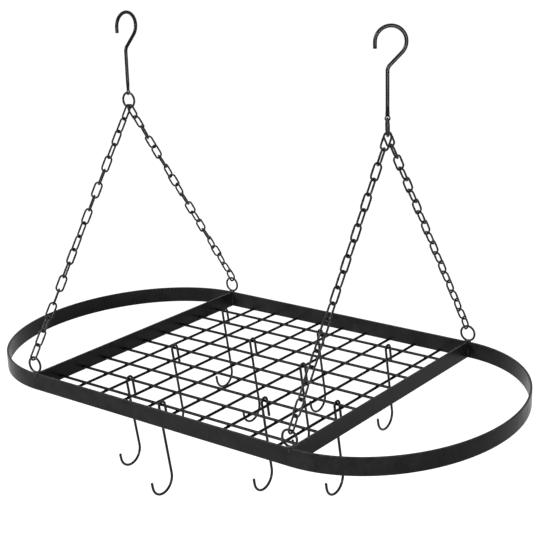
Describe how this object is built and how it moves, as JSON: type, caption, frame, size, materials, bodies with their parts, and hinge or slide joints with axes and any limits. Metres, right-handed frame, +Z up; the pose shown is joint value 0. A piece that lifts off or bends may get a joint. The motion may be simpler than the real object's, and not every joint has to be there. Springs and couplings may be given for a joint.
{
  "type": "hanging pot rack",
  "caption": "Oval rim of flat bar with a wire grid between two crossbars, hung by chains from two ceiling hooks, with S-hooks on the grid for pots and pans.",
  "frame": {"origin": "midway between the two ceiling hooks, at the inside top of their crowns, where they bear on what holds them", "axes": "+X along the rack's length, -Y towards its front, where the S-hooks' bowls open, +Z up"},
  "size_m": [0.8, 0.4482, 0.6258],
  "materials": {
    "frame": "satin black paint on flat steel bar",
    "grid": "satin black paint on round steel wire",
    "chain": "satin black paint on welded steel links",
    "ring": "satin black paint on round steel rings",
    "hook": "satin black paint on bent steel wire"
  },
  "bodies": {
    "ceiling_hooks": {"ceiling_hook_left": "hook", "ceiling_hook_right": "hook"},
    "left_ring": {"hook_ring_left": "ring"},
    "right_ring": {"hook_ring_right": "ring"},
    "front_left_chain": {"chain_front_left_segment_1": "chain", "chain_front_left_segment_2": "chain", "chain_front_left_segment_3": "chain", "chain_front_left_segment_4": "chain"},
    "back_left_chain": {"chain_back_left_segment_1": "chain", "chain_back_left_segment_2": "chain", "chain_back_left_segment_3": "chain", "chain_back_left_segment_4": "chain"},
    "front_right_chain": {"chain_front_right_segment_1": "chain", "chain_front_right_segment_2": "chain", "chain_front_right_segment_3": "chain", "chain_front_right_segment_4": "chain"},
    "back_right_chain": {"chain_back_right_segment_1": "chain", "chain_back_right_segment_2": "chain", "chain_back_right_segment_3": "chain", "chain_back_right_segment_4": "chain"},
    "rack": {"rim": "frame", "crossbar_left": "frame", "crossbar_right": "frame", "long_wire_1": "grid", "long_wire_2": "grid", "long_wire_3": "grid", "long_wire_4": "grid", "long_wire_5": "grid", "long_wire_6": "grid", "long_wire_7": "grid", "long_wire_8": "grid", "long_wire_9": "grid", "cross_wire_1": "grid", "cross_wire_2": "grid", "cross_wire_3": "grid", "cross_wire_4": "grid", "cross_wire_5": "grid", "cross_wire_6": "grid", "cross_wire_7": "grid", "cross_wire_8": "grid", "cross_wire_9": "grid", "corner_ring_front_left": "ring", "corner_ring_back_left": "ring", "corner_ring_front_right": "ring", "corner_ring_back_right": "ring"},
    "s_hook_1": {"s_hook_1": "hook"},
    "s_hook_2": {"s_hook_2": "hook"},
    "s_hook_3": {"s_hook_3": "hook"},
    "s_hook_4": {"s_hook_4": "hook"},
    "s_hook_5": {"s_hook_5": "hook"},
    "s_hook_6": {"s_hook_6": "hook"},
    "s_hook_7": {"s_hook_7": "hook"},
    "s_hook_8": {"s_hook_8": "hook"},
    "s_hook_9": {"s_hook_9": "hook"},
    "s_hook_10": {"s_hook_10": "hook"}
  },
  "joints": [
    {"name": "left_ring_swing", "type": "hinge", "parent": "ceiling_hooks", "child": "left_ring", "pos_m": [-0.22, 0, -0.11213], "axis": [1, 0, 0], "range_deg": [-25, 25]},
    {"name": "right_ring_swing", "type": "hinge", "parent": "ceiling_hooks", "child": "right_ring", "pos_m": [0.22, 0, -0.11213], "axis": [1, 0, 0], "range_deg": [-25, 25]},
    {"name": "front_left_chain_sway", "type": "hinge", "parent": "left_ring", "child": "front_left_chain", "pos_m": [-0.2219, 0, -0.13376], "axis": [0, 1, 0], "range_deg": [-18, 18]},
    {"name": "back_left_chain_sway", "type": "hinge", "parent": "left_ring", "child": "back_left_chain", "pos_m": [-0.2181, 0, -0.13376], "axis": [0, 1, 0], "range_deg": [-18, 18]},
    {"name": "front_right_chain_sway", "type": "hinge", "parent": "right_ring", "child": "front_right_chain", "pos_m": [0.22225, -0.00268, -0.13335], "axis": [0, 1, 0], "range_deg": [-18, 18]},
    {"name": "back_right_chain_sway", "type": "hinge", "parent": "right_ring", "child": "back_right_chain", "pos_m": [0.21775, 0.00268, -0.13335], "axis": [0, 1, 0], "range_deg": [-18, 18]},
    {"name": "rack_level", "type": "hinge", "parent": "front_left_chain", "child": "rack", "pos_m": [-0.2219, -0.2185, -0.45029], "axis": [0, 1, 0], "range_deg": [-18, 18]},
    {"name": "s_hook_1_swing", "type": "hinge", "parent": "rack", "child": "s_hook_1", "pos_m": [-0.1261, -0.1302, -0.49168], "axis": [1, 0, 0], "range_deg": [-45, 45]},
    {"name": "s_hook_2_swing", "type": "hinge", "parent": "rack", "child": "s_hook_2", "pos_m": [-0.02606, -0.1736, -0.49168], "axis": [1, 0, 0], "range_deg": [-45, 45]},
    {"name": "s_hook_3_swing", "type": "hinge", "parent": "rack", "child": "s_hook_3", "pos_m": [-0.15646, 0, -0.49168], "axis": [1, 0, 0], "range_deg": [-45, 45]},
    {"name": "s_hook_4_swing", "type": "hinge", "parent": "rack", "child": "s_hook_4", "pos_m": [-0.20051, 0.1736, -0.49168], "axis": [1, 0, 0], "range_deg": [-45, 45]},
    {"name": "s_hook_5_swing", "type": "hinge", "parent": "rack", "child": "s_hook_5", "pos_m": [-0.07573, 0.0868, -0.49168], "axis": [1, 0, 0], "range_deg": [-45, 45]},
    {"name": "s_hook_6_swing", "type": "hinge", "parent": "rack", "child": "s_hook_6", "pos_m": [0.07994, -0.0868, -0.49168], "axis": [1, 0, 0], "range_deg": [-45, 45]},
    {"name": "s_hook_7_swing", "type": "hinge", "parent": "rack", "child": "s_hook_7", "pos_m": [-0.01202, 0.1736, -0.49168], "axis": [1, 0, 0], "range_deg": [-45, 45]},
    {"name": "s_hook_8_swing", "type": "hinge", "parent": "rack", "child": "s_hook_8", "pos_m": [0.16804, -0.0434, -0.49168], "axis": [1, 0, 0], "range_deg": [-45, 45]},
    {"name": "s_hook_9_swing", "type": "hinge", "parent": "rack", "child": "s_hook_9", "pos_m": [0.11136, 0.1736, -0.49168], "axis": [1, 0, 0], "range_deg": [-45, 45]},
    {"name": "s_hook_10_swing", "type": "hinge", "parent": "rack", "child": "s_hook_10", "pos_m": [0.0494, 0.0434, -0.49168], "axis": [1, 0, 0], "range_deg": [-45, 45]}
  ],
  "couplings": [
    {"joint": "right_ring_swing", "follows": "left_ring_swing", "ratio": 1},
    {"joint": "back_left_chain_sway", "follows": "front_left_chain_sway", "ratio": 1},
    {"joint": "front_right_chain_sway", "follows": "front_left_chain_sway", "ratio": 1},
    {"joint": "back_right_chain_sway", "follows": "front_left_chain_sway", "ratio": 1},
    {"joint": "rack_level", "follows": "front_left_chain_sway", "ratio": -1}
  ]
}
